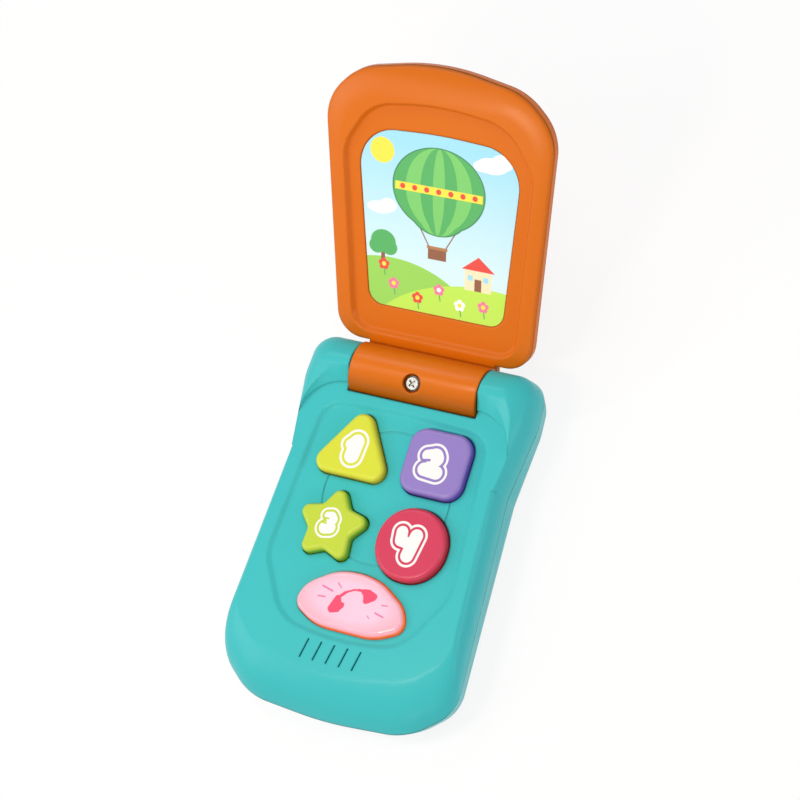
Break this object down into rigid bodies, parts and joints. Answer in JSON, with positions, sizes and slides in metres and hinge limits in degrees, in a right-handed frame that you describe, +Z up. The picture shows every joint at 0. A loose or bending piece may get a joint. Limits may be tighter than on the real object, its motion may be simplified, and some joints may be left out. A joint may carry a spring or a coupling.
{
  "type": "toy cell phone",
  "caption": "Toddler's flip phone with a hinged picture lid over shaped push keys, a lit call button, a speaker and a battery bay.",
  "frame": {"origin": "middle of the flat underside of the base, on the plane it rests on", "axes": "+Z up through the keys, +Y towards the lid's hinge, +X to the right as the keys are read"},
  "size_m": [0.0824, 0.1981, 0.0741],
  "materials": {
    "teal_plastic": "satin moulded ABS, teal",
    "orange_plastic": "satin moulded ABS, orange",
    "yellow_plastic": "satin moulded ABS, lemon yellow",
    "purple_plastic": "satin moulded ABS, purple",
    "lime_plastic": "satin moulded ABS, lime green",
    "red_plastic": "satin moulded ABS, crimson",
    "pink_translucent": "translucent moulded plastic, pale pink",
    "dark_plastic": "moulded nylon, black",
    "printed_label": "printed card label with a gloss film",
    "zinc_steel": "zinc-plated steel",
    "pin_steel": "drawn steel pin",
    "stamped_steel": "stamped tinplate",
    "contact_nickel": "nickel-plated spring steel",
    "board_laminate": "phenolic circuit board, green mask",
    "black_resin": "epoxy resin, black",
    "component_casing": "small component casings",
    "led_lens": "clear red epoxy",
    "cone_paper": "pressed black paper",
    "magnet_ferrite": "sintered ferrite",
    "foam_gasket": "closed-cell foam",
    "cell_jacket": "plain jacketed steel cell",
    "dome_rubber": "silicone rubber",
    "nylon_washer": "natural nylon"
  },
  "bodies": {
    "base": {"front_shell": "teal_plastic", "back_shell": "teal_plastic", "battery_door": "teal_plastic", "battery_door_screw": "zinc_steel", "housing_screws": "zinc_steel", "board_screws": "zinc_steel", "switch_screws": "zinc_steel", "main_board": "board_laminate", "switch_board": "board_laminate", "sound_chip": "black_resin", "board_components": "component_casing", "call_leds": "led_lens", "speaker_basket": "stamped_steel", "speaker_cone": "cone_paper", "speaker_magnet": "magnet_ferrite", "speaker_gasket": "foam_gasket", "battery_1": "cell_jacket", "battery_2": "cell_jacket", "contact_plates": "contact_nickel", "contact_springs": "contact_nickel", "slide_switch": "stamped_steel", "rubber_dome_1": "dome_rubber", "rubber_dome_2": "dome_rubber", "rubber_dome_3": "dome_rubber", "rubber_dome_4": "dome_rubber", "rubber_dome_5": "dome_rubber"},
    "lid": {"lid_frame": "orange_plastic", "lid_cover": "orange_plastic", "picture_label": "printed_label", "lid_screws": "zinc_steel", "barrel_screw": "zinc_steel", "hinge_pin": "pin_steel", "hinge_washers": "nylon_washer"},
    "power_slider": {"power_slider": "dark_plastic"},
    "key_1_triangle": {"key_1_triangle": "yellow_plastic"},
    "key_2_square": {"key_2_square": "purple_plastic"},
    "key_3_star": {"key_3_star": "lime_plastic"},
    "key_4_circle": {"key_4_circle": "red_plastic"},
    "call_button": {"call_button": "pink_translucent"}
  },
  "joints": [
    {"name": "lid_hinge", "type": "hinge", "parent": "base", "child": "lid", "pos_m": [0, 0.051, 0.0172], "axis": [1, 0, 0], "range_deg": [0, 142.8]},
    {"name": "key_1_press", "type": "slide", "parent": "base", "child": "key_1_triangle", "axis": [0, 0, 1], "range_m": [-0.0012, 0], "stiffness_N_per_m": 500, "springref_m": 0.0006, "deforming": ["rubber_dome_1"]},
    {"name": "key_2_press", "type": "slide", "parent": "base", "child": "key_2_square", "axis": [0, 0, 1], "range_m": [-0.0012, 0], "stiffness_N_per_m": 500, "springref_m": 0.0006, "deforming": ["rubber_dome_2"]},
    {"name": "key_3_press", "type": "slide", "parent": "base", "child": "key_3_star", "axis": [0, 0, 1], "range_m": [-0.0012, 0], "stiffness_N_per_m": 500, "springref_m": 0.0006, "deforming": ["rubber_dome_3"]},
    {"name": "key_4_press", "type": "slide", "parent": "base", "child": "key_4_circle", "axis": [0, 0, 1], "range_m": [-0.0012, 0], "stiffness_N_per_m": 500, "springref_m": 0.0006, "deforming": ["rubber_dome_4"]},
    {"name": "call_press", "type": "slide", "parent": "base", "child": "call_button", "axis": [0, 0, 1], "range_m": [-0.0012, 0], "stiffness_N_per_m": 500, "springref_m": 0.0006, "deforming": ["rubber_dome_5"]},
    {"name": "power_slide", "type": "slide", "parent": "base", "child": "power_slider", "axis": [1, 0, 0], "range_m": [0, 0.004]}
  ]
}
